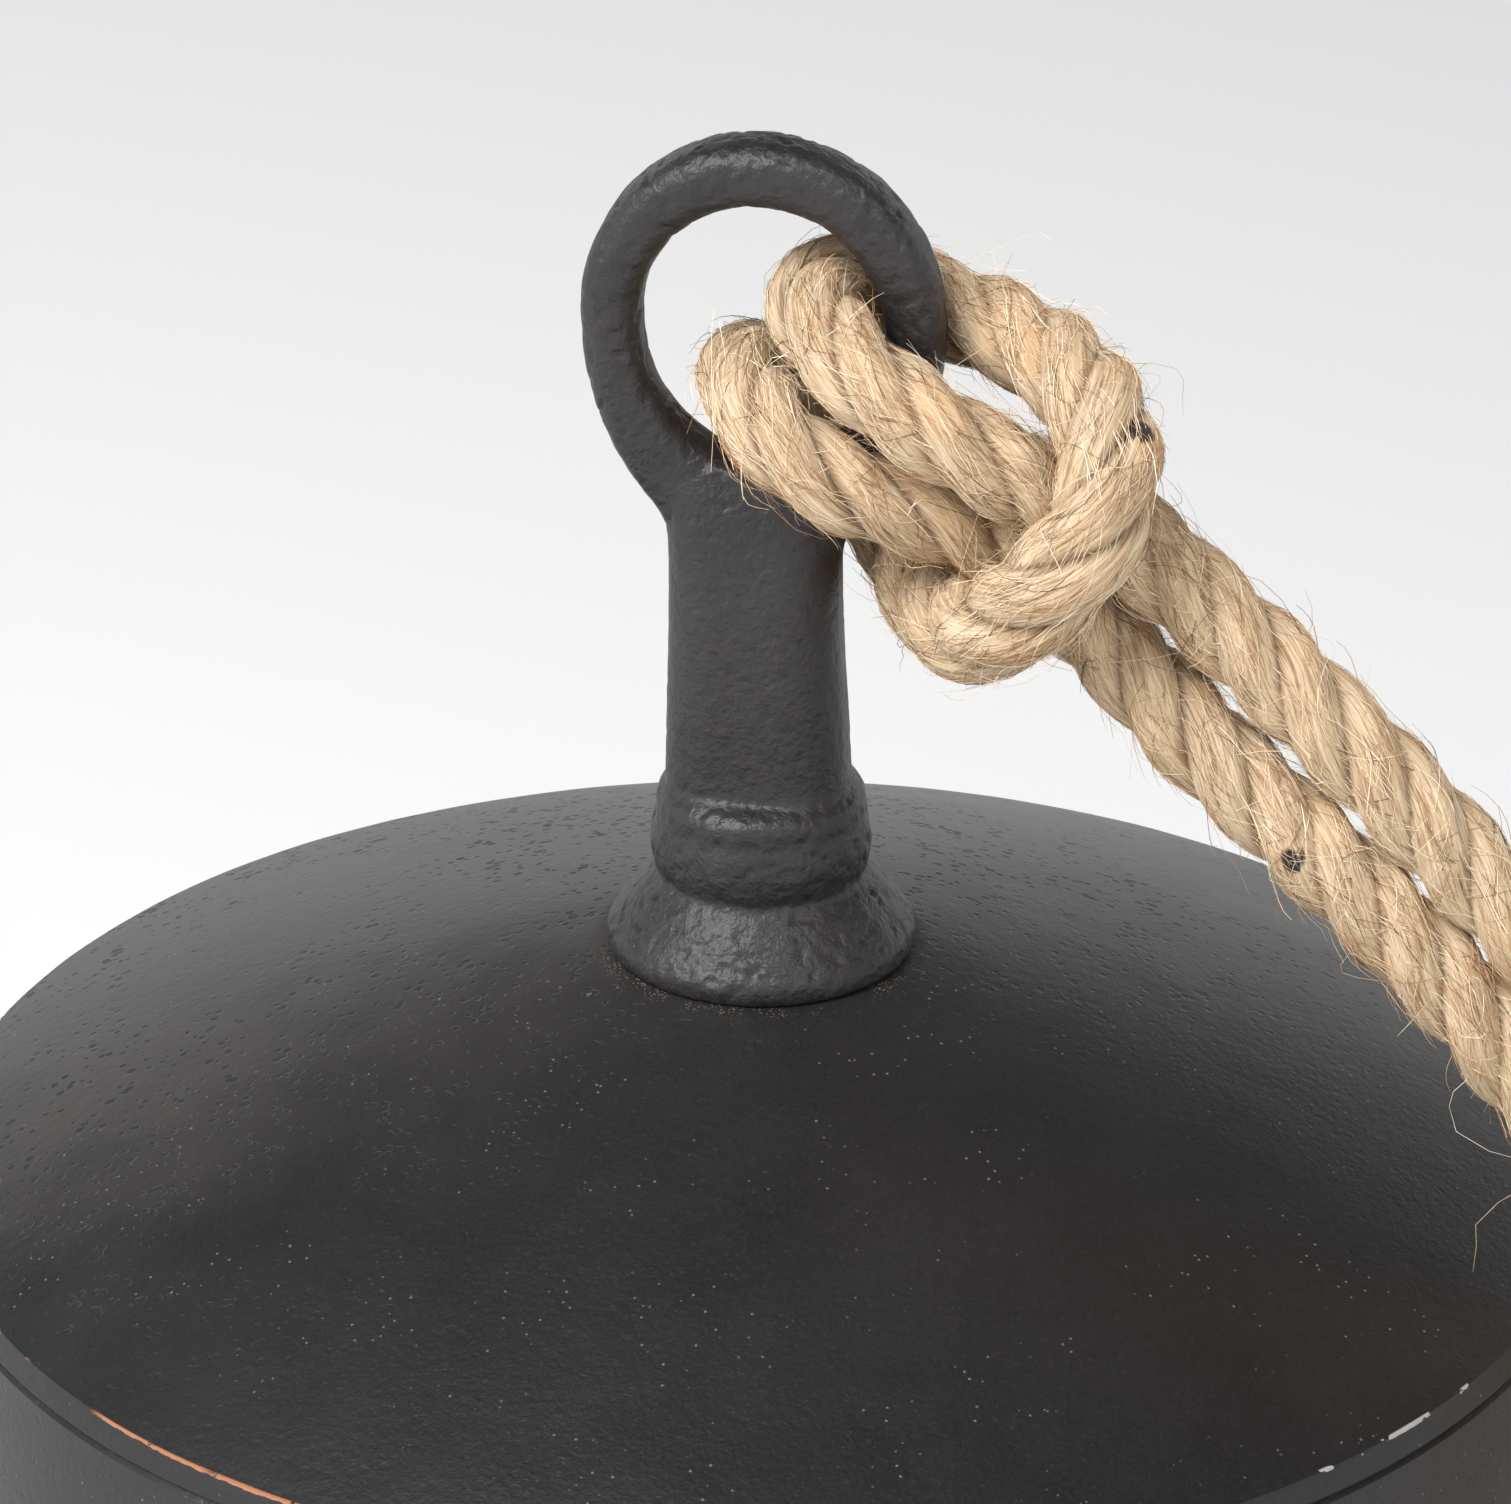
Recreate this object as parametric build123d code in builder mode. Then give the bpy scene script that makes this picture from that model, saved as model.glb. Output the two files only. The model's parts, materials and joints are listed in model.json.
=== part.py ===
from build123d import *
from math import cos, pi, radians, tan
import os

# A cast bell that stands on its mouth, centred on Z with the mouth at Z = 0.
# The crown eye lies in the XZ plane and the rope leaves it towards +X. Millimetres.

# Bell body
shoulder_height = 190.0
shoulder_radius = 107.0
seat_rise = 30.9
seat_radius = 20.6
crown_arc_radius = 409.6
band_height = 3.1
band_flare = 1.2
groove_width = 0.9
groove_depth = 0.45
waist_radius = 111.9
lip_radius = 126.0
lip_height = 9.0
lip_land_outer = 124.0
lip_land_inner = 118.0
wall = 5.0
crown_wall = 7.0
mouth_flare_height = 40.0
mouth_flare_radius = 118.2
lip_round_height = 3.6
lip_bulge = 0.2
groove_lip = 0.2
lip_thickening = 0.4
inner_flare_drop = 4.0
inner_corner_drop = 4.0
inner_corner_run = 7.0
inner_corner_rise = 6.0

seat_height = shoulder_height + seat_rise

# Crown eye casting
# outline and hole are each an upper and a lower half ellipse about one centre
ring_centre_z = shoulder_height + 118.5
ring_half_width = 23.0
ring_rise = 24.1
ring_drop = 32.3
hole_centre_z = shoulder_height + 117.3
hole_half_width = 15.5
hole_rise = 16.8
hole_drop = 18.1
neck_x = -0.9
ring_thickness = 9.4
ring_edge = 3.2
neck_z = shoulder_height + 90.5
neck_width = 21.8
neck_fillet = 9.0
stem_width = 23.4
# height, width, depth, corner radius and centre X of the stem's sections
stem_sections = (
    (shoulder_height + 48.0, stem_width, 19.0, 8.4, -0.3),
    (shoulder_height + 66.0, 22.8, 18.4, 8.0, -0.6),
    (shoulder_height + 84.0, 21.8, 15.6, 6.6, neck_x),
    (shoulder_height + 99.0, 24.0, 9.2, 4.0, neck_x),
)
bead_radius = 13.6
flange_radius = 19.8
flange_band = 2.6
# heights above the seat and radii along the flange's slope and the two beads
flange_slope = (flange_radius - 2.4, 6.0)
low_bead_foot = (bead_radius - 0.2, 11.0)
low_bead_crest = (bead_radius + 0.6, 15.2)
bead_waist = (bead_radius - 0.3, 19.5)
high_bead_crest = (bead_radius - 0.2, 21.3)
high_bead_top = (stem_width / 2 - 0.6, 23.4)

# Fasteners through the crown
stud_diameter = 10.0
stud_above_seat = 22.0
crown_hole_diameter = 10.6
washer_diameter = 34.0
washer_thickness = 2.5
lock_washer_diameter = 17.6
lock_washer_thickness = 2.2
lock_washer_gap = 1.6
nut_across_flats = 17.0
nut_height = 8.0

# Clapper suspension
eye_nut_diameter = 20.0
eye_nut_height = 11.0
eye_wire = 6.0
eye_ring_radius = 9.0
link_wire = 5.0
link_half_width = 7.0
link_pitch = 30.0
rod_eye_radius = 7.5
rod_eye_wire = 5.0
rest_gap = 0.3

# Clapper
rod_diameter = 8.0
ball_diameter = 44.0
ball_flat = 2.2
ball_centre_z = 42.0
ball_bore_clearance = 0.2
rod_nut_flats = 13.0
rod_nut_height = 6.5
rod_washer_diameter = 16.0
rod_washer_thickness = 1.6
cap_nut_height = 9.5
cap_hex_height = 4.5
cap_wall = 2.0
nut_chamfer = 1.2
washer_chamfer = 0.3
thread_chamfer = 0.8

# Rope
rope_diameter = 12.0
knot_low_x = 119.0
knot_high_x = 178.0
knot_low_y = 62.0
knot_high_y = 146.0
knot_height = 27.0
knot_corner = 6.0
knot_round = 5.5

os.makedirs("parts", exist_ok=True)


def save(builder, name):
    """Label a finished piece and write it as its own STEP file."""
    builder.part.label = name
    export_step(builder.part, f"parts/{name}.step")


# Bell body.
# Half profile: seat, shallow crown, turned band and groove, flared wall, lip.
wall_top_z = shoulder_height - band_height
wall_top_radius = shoulder_radius + band_flare
inner_top_z = wall_top_z - inner_corner_drop
inner_top_radius = wall_top_radius - wall
inner_corner = (inner_top_radius - inner_corner_run, inner_top_z + inner_corner_rise)
inner_crown_z = seat_height - crown_wall
waist_z = 0.5 * (wall_top_z + mouth_flare_height)

with BuildPart() as bell_body:
    with BuildSketch(Plane.XZ):
        with BuildLine():
            Line((crown_hole_diameter / 2, seat_height), (seat_radius, seat_height))
            RadiusArc((seat_radius, seat_height), (shoulder_radius, shoulder_height), crown_arc_radius)
            Polyline(
                (shoulder_radius, shoulder_height),
                (wall_top_radius, wall_top_z),
                (wall_top_radius - groove_depth, wall_top_z - groove_width / 2),
                (wall_top_radius + groove_lip, wall_top_z - groove_width),
            )
            Spline(
                (wall_top_radius + groove_lip, wall_top_z - groove_width),
                (waist_radius, waist_z),
                (mouth_flare_radius, mouth_flare_height),
                (lip_radius, lip_height),
                tangents=[(0.03, -1.0), (0.22, -1.0)],
            )
            ThreePointArc(
                (lip_radius, lip_height),
                (lip_radius + lip_bulge, lip_round_height),
                (lip_land_outer, 0),
            )
            Line((lip_land_outer, 0), (lip_land_inner, 0))
            Spline(
                (lip_land_inner, 0),
                (mouth_flare_radius - wall - lip_thickening, mouth_flare_height - inner_flare_drop),
                (waist_radius - wall, waist_z),
                (inner_top_radius, inner_top_z),
                tangents=[(-0.3, 1.0), (-0.03, 1.0)],
            )
            ThreePointArc(
                (inner_top_radius, inner_top_z),
                (inner_top_radius - 2.0, inner_top_z + inner_corner_drop),
                inner_corner,
            )
            RadiusArc(inner_corner, (seat_radius, inner_crown_z), -crown_arc_radius)
            Line((seat_radius, inner_crown_z), (crown_hole_diameter / 2, inner_crown_z))
            Line((crown_hole_diameter / 2, inner_crown_z), (crown_hole_diameter / 2, seat_height))
        make_face()
    revolve(axis=Axis.Z)
save(bell_body, "bell_body")
print("bell body volume", round(bell_body.part.volume), "mass kg", round(bell_body.part.volume * 7.2e-6, 2))


# Crown eye.
# One casting: a flat ring drawn out into a neck, an oval stem, two beads and a
# flange that sits on the crown. A blind tapped hole in its foot takes the stud.
half_thick = ring_thickness / 2
plate_foot_z = neck_z - 14.0


def on_seat(point):
    """A profile point given by its radius and its height above the crown's seat."""
    return (point[0], seat_height + point[1])


with BuildPart() as crown_eye:
    # ring, neck and the top of the stem as one plate, seen from the front
    with BuildSketch(Plane.XZ.offset(-half_thick)):
        with BuildLine():
            EllipticalCenterArc((0, ring_centre_z), ring_half_width, ring_rise, 0, arc_size=180)
            EllipticalCenterArc((0, ring_centre_z), ring_half_width, ring_drop, 180, arc_size=180)
        make_face()
        with Locations((neck_x, 0.5 * (plate_foot_z + hole_centre_z - hole_drop))):
            Rectangle(neck_width, hole_centre_z - hole_drop - plate_foot_z)
        with BuildLine():
            EllipticalCenterArc((0, hole_centre_z), hole_half_width, hole_rise, 0, arc_size=180)
            EllipticalCenterArc((0, hole_centre_z), hole_half_width, hole_drop, 180, arc_size=180)
        make_face(mode=Mode.SUBTRACT)
    extrude(amount=ring_thickness)
    creases = [e for e in crown_eye.edges().filter_by(Axis.Y) if abs(e.center().Z - neck_z) < 3]
    fillet(creases, neck_fillet)
    plate_faces = crown_eye.faces().sort_by(Axis.Y)
    rims = [e for f in (plate_faces[0], plate_faces[-1]) for e in f.edges()]
    fillet([e for e in rims if e.center().Z > plate_foot_z + 1], ring_edge)
    # stem, from the top bead up into the plate
    for height, width, depth, corner, centre in stem_sections:
        with BuildSketch(Plane.XY.offset(height)):
            with Locations((centre, 0)):
                RectangleRounded(width, depth, corner)
    loft()
    # beads and flange
    with BuildSketch(Plane.XZ):
        with BuildLine():
            Line((0, seat_height), (flange_radius, seat_height))
            Line((flange_radius, seat_height), (flange_radius, seat_height + flange_band))
            Spline((flange_radius, seat_height + flange_band), on_seat(flange_slope), on_seat(low_bead_foot))
            ThreePointArc(on_seat(low_bead_foot), on_seat(low_bead_crest), on_seat(bead_waist))
            ThreePointArc(on_seat(bead_waist), on_seat(high_bead_crest), on_seat(high_bead_top))
            Polyline(on_seat(high_bead_top), on_seat((0, high_bead_top[1])), (0, seat_height))
        make_face()
    revolve(axis=Axis.Z)
    with BuildSketch(Plane.XY.offset(seat_height)):
        Circle(stud_diameter / 2)
    extrude(amount=stud_above_seat, mode=Mode.SUBTRACT)
save(crown_eye, "crown_eye")


# Fasteners through the crown.
def hex_nut(bottom_z, height, across_flats, bore):
    """A chamfered hexagon nut with a plain bore, standing on bottom_z."""
    with BuildPart() as nut:
        with BuildSketch(Plane.XY.offset(bottom_z)):
            RegularPolygon(across_flats / 2, 6, major_radius=False)
        extrude(amount=height)
        with BuildSketch(Plane.XZ):
            corner = across_flats / 2 / cos(radians(30))
            with BuildLine():
                Polyline(
                    (0, bottom_z),
                    (across_flats / 2, bottom_z),
                    (corner + 0.1, bottom_z + nut_chamfer),
                    (corner + 0.1, bottom_z + height - nut_chamfer),
                    (across_flats / 2, bottom_z + height),
                    (0, bottom_z + height),
                    close=True,
                )
            make_face()
        revolve(axis=Axis.Z, mode=Mode.INTERSECT)
        with BuildSketch(Plane.XY.offset(bottom_z)):
            Circle(bore / 2)
        extrude(amount=height, mode=Mode.SUBTRACT)
    return nut


def washer(bottom_z, thickness, outer, bore):
    """A flat washer standing on bottom_z."""
    with BuildPart() as ring:
        with BuildSketch(Plane.XY.offset(bottom_z)):
            Circle(outer / 2)
            Circle(bore / 2, mode=Mode.SUBTRACT)
        extrude(amount=thickness)
        chamfer(ring.edges().filter_by(GeomType.CIRCLE).group_by(SortBy.LENGTH)[-1], washer_chamfer)
    return ring


washer_z = inner_crown_z - washer_thickness
lock_washer_z = washer_z - lock_washer_thickness
crown_nut_z = lock_washer_z - nut_height
eye_nut_z = crown_nut_z - eye_nut_height
stud_bottom_z = eye_nut_z + 2.0

with BuildPart() as crown_stud:
    with BuildSketch(Plane.XY.offset(stud_bottom_z)):
        Circle(stud_diameter / 2)
    extrude(amount=seat_height + stud_above_seat - 1.0 - stud_bottom_z)
    chamfer(crown_stud.edges().filter_by(GeomType.CIRCLE), thread_chamfer)
save(crown_stud, "crown_stud")

crown_washer = washer(washer_z, washer_thickness, washer_diameter, crown_hole_diameter)
save(crown_washer, "crown_washer")

with BuildPart() as lock_washer:
    with BuildSketch(Plane.XY.offset(lock_washer_z)):
        Circle(lock_washer_diameter / 2)
        Circle(crown_hole_diameter / 2, mode=Mode.SUBTRACT)
        with Locations(Location((lock_washer_diameter / 2 - 2, 0), 25)):
            Rectangle(8, lock_washer_gap, mode=Mode.SUBTRACT)
    extrude(amount=lock_washer_thickness)
save(lock_washer, "lock_washer")

crown_nut = hex_nut(crown_nut_z, nut_height, nut_across_flats, stud_diameter)
save(crown_nut, "crown_nut")

# Eye nut: a round collar on the stud's end, with a ring below it in the XZ plane.
eye_ring_z = eye_nut_z - eye_ring_radius + 0.5
with BuildPart() as clapper_eye_nut:
    with BuildSketch(Plane.XY.offset(eye_nut_z)):
        Circle(eye_nut_diameter / 2)
    extrude(amount=eye_nut_height)
    chamfer(clapper_eye_nut.edges().filter_by(GeomType.CIRCLE), nut_chamfer)
    with Locations(Location((0, 0, eye_ring_z), (90, 0, 0))):
        Torus(eye_ring_radius, eye_wire / 2)
    with BuildSketch(Plane.XY.offset(stud_bottom_z)):
        Circle(stud_diameter / 2)
    extrude(amount=eye_nut_height, mode=Mode.SUBTRACT)
save(clapper_eye_nut, "clapper_eye_nut")


# Clapper.
# The link hangs in the eye nut's ring and turns about its own top wire (Y axis).
# The rod's eye hangs in the link and turns about its own top wire (X axis).
link_top_z = eye_ring_z - eye_ring_radius + eye_wire / 2 + rest_gap + link_wire / 2
link_bottom_z = link_top_z - link_pitch
rod_pivot_z = link_bottom_z + link_wire / 2 + rest_gap + rod_eye_wire / 2
rod_eye_z = rod_pivot_z - rod_eye_radius

with BuildPart() as clapper_link:
    with BuildLine(Plane.YZ) as link_line:
        link_arc_high = link_top_z - link_half_width
        link_arc_low = link_bottom_z + link_half_width
        CenterArc((0, link_arc_high), link_half_width, 0, 180)
        Line((-link_half_width, link_arc_high), (-link_half_width, link_arc_low))
        CenterArc((0, link_arc_low), link_half_width, 180, 180)
        Line((link_half_width, link_arc_low), (link_half_width, link_arc_high))
    with BuildSketch(Plane.XY.offset(0.5 * (link_top_z + link_bottom_z))):
        with Locations((0, link_half_width)):
            Circle(link_wire / 2)
    sweep(path=link_line.wires()[0])
save(clapper_link, "clapper_link")

ball_bottom_z = ball_centre_z - ball_diameter / 2 + ball_flat
ball_top_z = ball_centre_z + ball_diameter / 2 - ball_flat
ball_washer_z = ball_bottom_z - rod_washer_thickness
cap_nut_z = ball_washer_z - cap_nut_height
rod_bottom_z = cap_nut_z + cap_wall
top_washer_z = ball_top_z
top_nut_z = top_washer_z + rod_washer_thickness

with BuildPart() as clapper_rod:
    with Locations(Location((0, 0, rod_eye_z), (90, 0, 0))):
        Torus(rod_eye_radius, rod_eye_wire / 2)
    with BuildSketch(Plane.XY.offset(rod_bottom_z)):
        Circle(rod_diameter / 2)
    extrude(amount=rod_eye_z - rod_eye_radius - rod_bottom_z)
    chamfer(clapper_rod.edges().filter_by(GeomType.CIRCLE).sort_by(Axis.Z)[0], thread_chamfer)
save(clapper_rod, "clapper_rod")

with BuildPart() as clapper_ball:
    with Locations((0, 0, ball_centre_z)):
        Sphere(ball_diameter / 2)
    split(bisect_by=Plane.XY.offset(ball_top_z), keep=Keep.BOTTOM)
    split(bisect_by=Plane.XY.offset(ball_bottom_z), keep=Keep.TOP)
    with BuildSketch(Plane.XY.offset(ball_bottom_z)):
        Circle(rod_diameter / 2 + ball_bore_clearance)
    extrude(amount=ball_diameter, mode=Mode.SUBTRACT)
save(clapper_ball, "clapper_ball")

rod_bore = rod_diameter + 2 * ball_bore_clearance
save(washer(top_washer_z, rod_washer_thickness, rod_washer_diameter, rod_bore), "ball_top_washer")
save(hex_nut(top_nut_z, rod_nut_height, rod_nut_flats, rod_diameter), "ball_top_nut")
save(washer(ball_washer_z, rod_washer_thickness, rod_washer_diameter, rod_bore), "ball_washer")

# Cap nut: a hexagon that turns into a low dome below, closed at its end.
cap_corner = rod_nut_flats * 0.6
cap_dome_radius = rod_nut_flats / 2 - 0.4
cap_dome_z = cap_nut_z + cap_nut_height - cap_hex_height - 1.0
with BuildPart() as cap_nut:
    with BuildSketch(Plane.XY.offset(cap_nut_z)):
        RegularPolygon(rod_nut_flats / 2, 6, major_radius=False)
    extrude(amount=cap_nut_height)
    with BuildSketch(Plane.XZ):
        with BuildLine():
            Polyline(
                (0, cap_nut_z),
                (0, cap_nut_z + cap_nut_height),
                (cap_corner, cap_nut_z + cap_nut_height),
                (cap_corner, cap_dome_z + 1.0),
                (cap_dome_radius, cap_dome_z),
            )
            cap_side = (cap_dome_radius - 1.8, cap_nut_z + 1.2)
            ThreePointArc((cap_dome_radius, cap_dome_z), cap_side, (0, cap_nut_z))
        make_face()
    revolve(axis=Axis.Z, mode=Mode.INTERSECT)
    with BuildSketch(Plane.XY.offset(rod_bottom_z)):
        Circle(rod_diameter / 2)
    extrude(amount=cap_nut_height, mode=Mode.SUBTRACT)
save(cap_nut, "cap_nut")


# Rope.
# One length of three-strand jute rope. Its middle is a lark's head hitch on the
# ring's +X limb. Both legs drop beside the bell, lie down on the floor and are
# tied together in one overhand knot, whose outer shape is a solid of its own.
hitch_route = [
    (42.5, -9.5, 289.5),
    (37.9, -10, 292.1),
    (28.3, -12.5, 297.5),
    (19.4, -12.5, 303.1),
    (10.2, -9, 308.6),
    (5.1, 1, 311.3),
    (10.4, 11, 310),
    (21.5, 11, 306.5),
    (31.5, 6, 305.5),
    (39, -1.5, 304.9),
    (45.1, -11, 303),
    (47, -20, 296),
    (41.5, -23, 286.5),
    (34.5, -19.5, 278.6),
    (28.5, -12.5, 272.4),
    (22.9, -2.5, 271),
    (17.8, 7.5, 274),
    (12, 14, 280),
    (4.5, 15, 287.5),
    (-1.7, 11, 296),
    (-2.9, 1, 301),
    (0.5, -10, 299),
    (8.9, -13.5, 293.4),
    (17.9, -10.5, 288.5),
    (27, -5.5, 284.5),
    (35.9, -4.5, 278.7),
    (40.3, -6, 275.1),
]
leg_a_route = [
    (42.5, -9.5, 289.5),
    (47.9, -8.9, 286.4),
    (58.9, -9.8, 277),
    (74.3, -11.8, 263.7),
    (92.2, -13, 246.4),
    (111.1, -13.5, 226),
    (131, -14, 203),
    (147, -14, 174),
    (158, -14, 143),
    (165, -14.5, 110),
    (168, -15, 78),
    (168.5, -12, 49),
    (168.5, 2, 23.5),
    (168, 26, 7.5),
    (166.4, 48, 7),
    (166.3, 61.9, 7.1),
]
leg_b_route = [
    (40.3, -6, 275.1),
    (45.7, -7.8, 270.7),
    (58.2, -12.3, 259.7),
    (73.4, -14, 246.8),
    (90.1, -15.5, 231.7),
    (106.2, -16.5, 212.8),
    (120, -17, 189),
    (133, -17, 163),
    (143, -17, 135),
    (150, -17, 106),
    (153.5, -17, 77),
    (154.5, -14, 49),
    (154.5, 0, 23),
    (153, 26, 7.5),
    (151, 48, 7),
    (150.8, 61.9, 7.1),
]
tail_a_route = [(165.2, 146.3, 7.3), (165.4, 159, 7), (169, 175, 7)]
tail_b_route = [(148.4, 147.2, 12.2), (148.8, 154.5, 11), (150.4, 165, 7), (153, 176, 7)]


def corner_radii(points):
    """The radius at each corner of a route: 0.45 of its shorter run over the tangent of half its turn."""
    radii = []
    for before, here, after in zip(points, points[1:], points[2:]):
        run_in = Vector(*here) - Vector(*before)
        run_out = Vector(*after) - Vector(*here)
        half_turn = radians(run_in.get_angle(run_out)) / 2
        radii.append(0.45 * min(run_in.length, run_out.length) / tan(half_turn))
    return radii


def rope_tube(points, name):
    """A plain round tube along a route of straight runs and tangent arcs."""
    with BuildPart() as rope:
        with BuildLine() as centre:
            FilletPolyline(*points, radius=corner_radii(points))
        line = centre.wires()[0]
        with BuildSketch(line ^ 0):
            Circle(rope_diameter / 2)
        sweep(path=line)
    ideal = pi * rope_diameter**2 / 4 * line.length
    print(name, "length", round(line.length, 1), "volume over ideal", round(rope.part.volume / ideal, 4))
    print("  radii", [round(r) for r in corner_radii(points)])
    save(rope, name)


rope_tube(hitch_route, "rope_hitch")
rope_tube(leg_a_route, "rope_leg_a")
rope_tube(leg_b_route, "rope_leg_b")
rope_tube(tail_a_route, "rope_tail_a")
rope_tube(tail_b_route, "rope_tail_b")

with BuildPart() as rope_knot:
    with BuildSketch(Plane.XY):
        with Locations(((knot_low_x + knot_high_x) / 2, (knot_low_y + knot_high_y) / 2)):
            RectangleRounded(knot_high_x - knot_low_x, knot_high_y - knot_low_y, knot_corner)
    extrude(amount=knot_height)
    fillet(rope_knot.faces().sort_by(Axis.Z)[-1].edges(), knot_round)
save(rope_knot, "rope_knot")
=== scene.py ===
import json
import math
import bpy
import numpy as np
from mathutils import Matrix, Vector, noise


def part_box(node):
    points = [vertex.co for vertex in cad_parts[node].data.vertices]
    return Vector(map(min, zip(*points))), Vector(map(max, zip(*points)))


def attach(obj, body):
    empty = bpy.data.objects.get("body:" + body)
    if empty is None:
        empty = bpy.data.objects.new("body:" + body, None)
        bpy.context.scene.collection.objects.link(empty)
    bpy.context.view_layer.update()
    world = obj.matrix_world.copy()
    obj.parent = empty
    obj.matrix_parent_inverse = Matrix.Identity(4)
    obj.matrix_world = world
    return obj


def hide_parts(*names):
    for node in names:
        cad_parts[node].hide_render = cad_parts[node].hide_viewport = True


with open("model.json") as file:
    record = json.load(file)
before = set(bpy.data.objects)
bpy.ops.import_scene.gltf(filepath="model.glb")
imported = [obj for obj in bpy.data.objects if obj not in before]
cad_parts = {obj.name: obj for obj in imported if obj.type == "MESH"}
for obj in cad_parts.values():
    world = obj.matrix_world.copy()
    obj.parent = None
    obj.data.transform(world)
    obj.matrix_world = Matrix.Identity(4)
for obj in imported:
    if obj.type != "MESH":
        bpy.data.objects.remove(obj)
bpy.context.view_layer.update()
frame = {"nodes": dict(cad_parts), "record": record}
nodes = frame["nodes"]
print("frame loaded:", len(nodes), "nodes")


def deselectAll():
    bpy.ops.object.select_all(action="DESELECT")


def metres(points):
    return [tuple(0.001 * x for x in p) for p in points]


def addNode(tree, kind, inputs=None, **settings):
    item = tree.nodes.new(kind)
    for key, value in settings.items():
        setattr(item, key, value)
    for key, value in (inputs or {}).items():
        if isinstance(value, bpy.types.NodeSocket):
            tree.links.new(value, item.inputs[key])
        else:
            item.inputs[key].default_value = value
    return item


def addMath(tree, operation, a, b=0.0, c=0.0, clamp=False):
    item = addNode(tree, "ShaderNodeMath", {0: a, 1: b, 2: c}, operation=operation, use_clamp=clamp)
    return item.outputs[0]


def addProduct(tree, a, b, clamp=False):
    return addMath(tree, "MULTIPLY", a, b, clamp=clamp)


def addCells(tree, at, scale):
    # distance to the nearest of many scattered points
    item = addNode(tree, "ShaderNodeTexVoronoi", {"Vector": at, "Scale": scale}, feature="F1")
    return item.outputs["Distance"]


def addNoise(tree, at, scale, detail=4.0, roughness=0.55, distortion=0.0):
    values = {"Vector": at, "Scale": scale, "Detail": detail}
    values.update({"Roughness": roughness, "Distortion": distortion})
    return addNode(tree, "ShaderNodeTexNoise", values).outputs["Fac"]


def addRange(tree, value, low, high, toLow=0.0, toHigh=1.0):
    # a soft step from low to high
    values = {"Value": value, "From Min": low, "From Max": high, "To Min": toLow, "To Max": toHigh}
    return addNode(tree, "ShaderNodeMapRange", values, interpolation_type="SMOOTHSTEP").outputs["Result"]


def addMix(tree, factor, a, b):
    mix = addNode(tree, "ShaderNodeMix", data_type="RGBA")
    for index, value in ((0, factor), (6, a), (7, b)):
        if isinstance(value, bpy.types.NodeSocket):
            tree.links.new(value, mix.inputs[index])
        elif index == 0:
            mix.inputs[0].default_value = value
        else:
            mix.inputs[index].default_value = (*value, 1)
    return mix.outputs[2]


def addBump(tree, height, strength, distance, normal=None):
    values = {"Height": height, "Strength": strength, "Distance": distance}
    if normal is not None:
        values["Normal"] = normal
    return addNode(tree, "ShaderNodeBump", values).outputs["Normal"]


def addRamp(tree, value, tones):
    # the first two tones are the ramp's ends
    item = addNode(tree, "ShaderNodeValToRGB", {"Fac": value})
    elements = item.color_ramp.elements
    for element, (position, colour) in zip(list(elements), tones):
        element.position = position
        element.color = (*colour, 1)
    for position, colour in tones[2:]:
        elements.new(position).color = (*colour, 1)
    return item.outputs["Color"]


def newMaterial(name):
    paint = bpy.data.materials.new(name)
    paint.use_nodes = True
    return paint, paint.node_tree, paint.node_tree.nodes["Principled BSDF"]


def plug(tree, shader, **sockets):
    for key, value in sockets.items():
        socket = shader.inputs[key.replace("_", " ")]
        if isinstance(value, bpy.types.NodeSocket):
            tree.links.new(value, socket)
        else:
            socket.default_value = value


def wear(piece, paint):
    piece.data.materials.clear()
    piece.data.materials.append(paint)


# camera, light and floor
view = {"azimuth": 10.0, "elevation": 26.48, "distance": 1.3, "lens": 242.97, "roll": 0.26,
        "aimSide": -0.0008, "aimHeight": 0.2476}
studio = {"horizon": 2.1, "overhead": 0.10, "horizonTop": 0.42, "floorTone": 0.93}


def addCamera():
    a = math.radians(view["azimuth"])
    e = math.radians(view["elevation"])
    back = Vector((math.sin(a) * math.cos(e), -math.cos(a) * math.cos(e), math.sin(e)))
    right = Vector((math.cos(a), math.sin(a), 0))
    up = back.cross(right)
    r = math.radians(view["roll"])
    right, up = right * math.cos(r) + up * math.sin(r), up * math.cos(r) - right * math.sin(r)
    aim = Vector((view["aimSide"] * math.cos(a), view["aimSide"] * math.sin(a), view["aimHeight"]))
    place = Matrix((right, up, back)).transposed().to_4x4()
    place.translation = aim + back * view["distance"]
    bpy.ops.object.camera_add()
    cam = bpy.context.object
    cam.matrix_world = place
    cam.data.sensor_fit = "HORIZONTAL"
    cam.data.sensor_width = 36.0
    cam.data.lens = view["lens"]
    cam.data.clip_start = 0.05
    cam.data.clip_end = 60.0
    bpy.context.scene.camera = cam


def addSoftbox(name, place, aim, size, power):
    bpy.ops.object.light_add(type="AREA", location=place)
    lamp = bpy.context.object
    lamp.name = name
    lamp.rotation_euler = (Vector(aim) - Vector(place)).to_track_quat("-Z", "Y").to_euler()
    lamp.data.shape = "RECTANGLE"
    lamp.data.size = size[0]
    lamp.data.size_y = size[1]
    lamp.data.energy = power


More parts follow.
